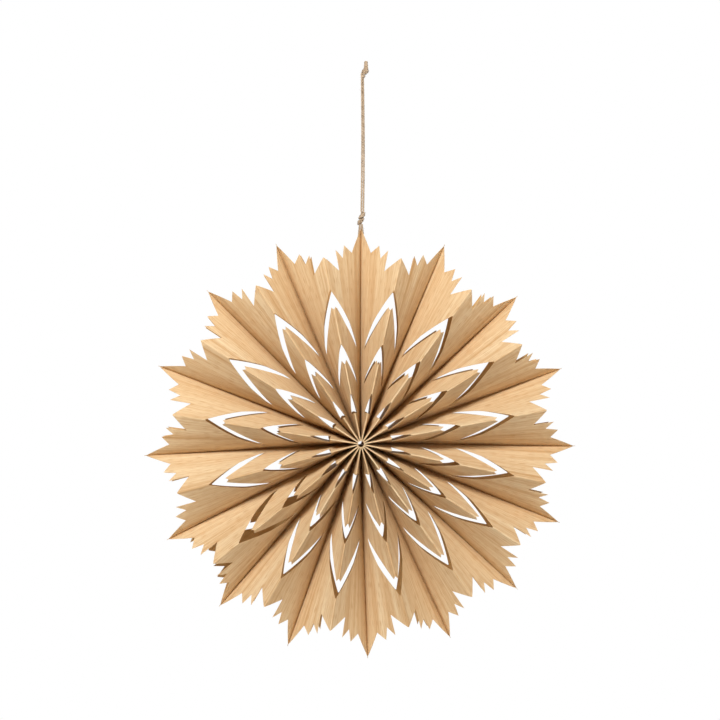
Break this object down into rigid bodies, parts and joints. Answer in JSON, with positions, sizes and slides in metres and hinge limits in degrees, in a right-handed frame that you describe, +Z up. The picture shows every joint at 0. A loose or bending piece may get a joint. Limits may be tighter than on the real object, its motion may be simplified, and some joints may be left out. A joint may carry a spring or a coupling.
{
  "type": "paper snowflake star",
  "caption": "Hanging star of cut wood-grain paper pockets glued side by side and fanned to a full turn, on a jute twine loop.",
  "frame": {"origin": "the hanging point, between the two twine strands just under the upper knot", "axes": "+Z up along the twine, -Y towards the viewer, along the star's own axis, +X to the viewer's right"},
  "size_m": [0.404, 0.1002, 0.5596],
  "materials": {
    "paper": "matt wood-grain paper",
    "adhesive": "clear double-sided film",
    "twine": "twisted jute"
  },
  "bodies": {
    "twine": {"upper_knot": "twine", "twine_tail_left": "twine", "twine_tail_right": "twine", "twine_strand_left": "twine", "twine_strand_right": "twine"},
    "tip_loop": {"lower_knot": "twine", "tip_loop": "twine"},
    "pocket_01": {"pocket_01": "paper", "closing_strip": "adhesive", "glue_seam_01": "adhesive"},
    "pocket_02": {"pocket_02": "paper", "glue_seam_02": "adhesive"},
    "pocket_03": {"pocket_03": "paper", "glue_seam_03": "adhesive"},
    "pocket_04": {"pocket_04": "paper", "glue_seam_04": "adhesive"},
    "pocket_05": {"pocket_05": "paper", "glue_seam_05": "adhesive"},
    "pocket_06": {"pocket_06": "paper", "glue_seam_06": "adhesive"},
    "pocket_07": {"pocket_07": "paper", "glue_seam_07": "adhesive"},
    "pocket_08": {"pocket_08": "paper", "glue_seam_08": "adhesive"},
    "pocket_09": {"pocket_09": "paper", "glue_seam_09": "adhesive"},
    "pocket_10": {"pocket_10": "paper", "glue_seam_10": "adhesive"},
    "pocket_11": {"pocket_11": "paper", "glue_seam_11": "adhesive"},
    "pocket_12": {"pocket_12": "paper", "glue_seam_12": "adhesive"},
    "pocket_13": {"pocket_13": "paper", "glue_seam_13": "adhesive"},
    "pocket_14": {"pocket_14": "paper", "glue_seam_14": "adhesive"},
    "pocket_15": {"pocket_15": "paper", "glue_seam_15": "adhesive"},
    "pocket_16": {"pocket_16": "paper"}
  },
  "joints": [
    {"name": "twine_swivel", "type": "hinge", "parent": "twine", "child": "tip_loop", "pos_m": [0, 0, -0.1268], "axis": [0, 0, 1], "range_deg": [-180, 180]},
    {"name": "tip_tilt", "type": "hinge", "parent": "tip_loop", "child": "pocket_01", "pos_m": [-0.00139, 0, -0.1507], "axis": [1, 0, 0], "range_deg": [-20, 20]},
    {"name": "fold_01", "type": "hinge", "parent": "pocket_01", "child": "pocket_02", "pos_m": [-0.00154, 0, -0.34138], "axis": [0, -1, 0], "range_deg": [0, 22.7], "deforming": ["pocket_01", "closing_strip", "glue_seam_01", "pocket_02", "glue_seam_02"]},
    {"name": "fold_02", "type": "hinge", "parent": "pocket_02", "child": "pocket_03", "pos_m": [-0.0008, 0, -0.3419], "axis": [0, -1, 0], "range_deg": [0, 22.6], "deforming": ["pocket_03", "glue_seam_03"]},
    {"name": "fold_03", "type": "hinge", "parent": "pocket_03", "child": "pocket_04", "pos_m": [-0.00035, 0, -0.34263], "axis": [0, -1, 0], "range_deg": [0, 21.24], "deforming": ["pocket_04", "glue_seam_04"]},
    {"name": "fold_04", "type": "hinge", "parent": "pocket_04", "child": "pocket_05", "pos_m": [-0.00021, 0, -0.34342], "axis": [0, -1, 0], "range_deg": [0, 20.37], "deforming": ["pocket_05", "glue_seam_05"]},
    {"name": "fold_05", "type": "hinge", "parent": "pocket_05", "child": "pocket_06", "pos_m": [-0.00037, 0, -0.3442], "axis": [0, -1, 0], "range_deg": [0, 20.37], "deforming": ["pocket_06", "glue_seam_06"]},
    {"name": "fold_06", "type": "hinge", "parent": "pocket_06", "child": "pocket_07", "pos_m": [-0.0008, 0, -0.34488], "axis": [0, -1, 0], "range_deg": [0, 21], "deforming": ["pocket_07", "glue_seam_07"]},
    {"name": "fold_07", "type": "hinge", "parent": "pocket_07", "child": "pocket_08", "pos_m": [-0.00148, 0, -0.34537], "axis": [0, -1, 0], "range_deg": [0, 21.82], "deforming": ["pocket_08", "glue_seam_08"]},
    {"name": "fold_08", "type": "hinge", "parent": "pocket_08", "child": "pocket_09", "pos_m": [-0.00232, 0, -0.34557], "axis": [0, -1, 0], "range_deg": [0, 21.58], "deforming": ["pocket_09", "glue_seam_09"]},
    {"name": "fold_09", "type": "hinge", "parent": "pocket_09", "child": "pocket_10", "pos_m": [-0.00313, 0, -0.34545], "axis": [0, -1, 0], "range_deg": [0, 20.76], "deforming": ["pocket_10", "glue_seam_10"]},
    {"name": "fold_10", "type": "hinge", "parent": "pocket_10", "child": "pocket_11", "pos_m": [-0.00383, 0, -0.34504], "axis": [0, -1, 0], "range_deg": [0, 21.2], "deforming": ["pocket_11", "glue_seam_11"]},
    {"name": "fold_11", "type": "hinge", "parent": "pocket_11", "child": "pocket_12", "pos_m": [-0.00435, 0, -0.34437], "axis": [0, -1, 0], "range_deg": [0, 22.26], "deforming": ["pocket_12", "glue_seam_12"]},
    {"name": "fold_12", "type": "hinge", "parent": "pocket_12", "child": "pocket_13", "pos_m": [-0.00458, 0, -0.34352], "axis": [0, -1, 0], "range_deg": [0, 23.09], "deforming": ["pocket_13", "glue_seam_13"]},
    {"name": "fold_13", "type": "hinge", "parent": "pocket_13", "child": "pocket_14", "pos_m": [-0.00444, 0, -0.34261], "axis": [0, -1, 0], "range_deg": [0, 23.43], "deforming": ["pocket_14", "glue_seam_14"]},
    {"name": "fold_14", "type": "hinge", "parent": "pocket_14", "child": "pocket_15", "pos_m": [-0.00395, 0, -0.34184], "axis": [0, -1, 0], "range_deg": [0, 22.41], "deforming": ["pocket_15", "glue_seam_15"]},
    {"name": "fold_15", "type": "hinge", "parent": "pocket_15", "child": "pocket_16", "pos_m": [-0.00325, 0, -0.34137], "axis": [0, -1, 0], "range_deg": [0, 22.02], "deforming": ["pocket_16"]}
  ],
  "couplings": [
    {"joint": "fold_02", "follows": "fold_01", "ratio": 0.99573},
    {"joint": "fold_03", "follows": "fold_01", "ratio": 0.9359},
    {"joint": "fold_04", "follows": "fold_01", "ratio": 0.89743},
    {"joint": "fold_05", "follows": "fold_01", "ratio": 0.89743},
    {"joint": "fold_06", "follows": "fold_01", "ratio": 0.92524},
    {"joint": "fold_07", "follows": "fold_01", "ratio": 0.96154},
    {"joint": "fold_08", "follows": "fold_01", "ratio": 0.95088},
    {"joint": "fold_09", "follows": "fold_01", "ratio": 0.91453},
    {"joint": "fold_10", "follows": "fold_01", "ratio": 0.93378},
    {"joint": "fold_11", "follows": "fold_01", "ratio": 0.98079},
    {"joint": "fold_12", "follows": "fold_01", "ratio": 1.0171},
    {"joint": "fold_13", "follows": "fold_01", "ratio": 1.0321},
    {"joint": "fold_14", "follows": "fold_01", "ratio": 0.98718},
    {"joint": "fold_15", "follows": "fold_01", "ratio": 0.97008}
  ]
}
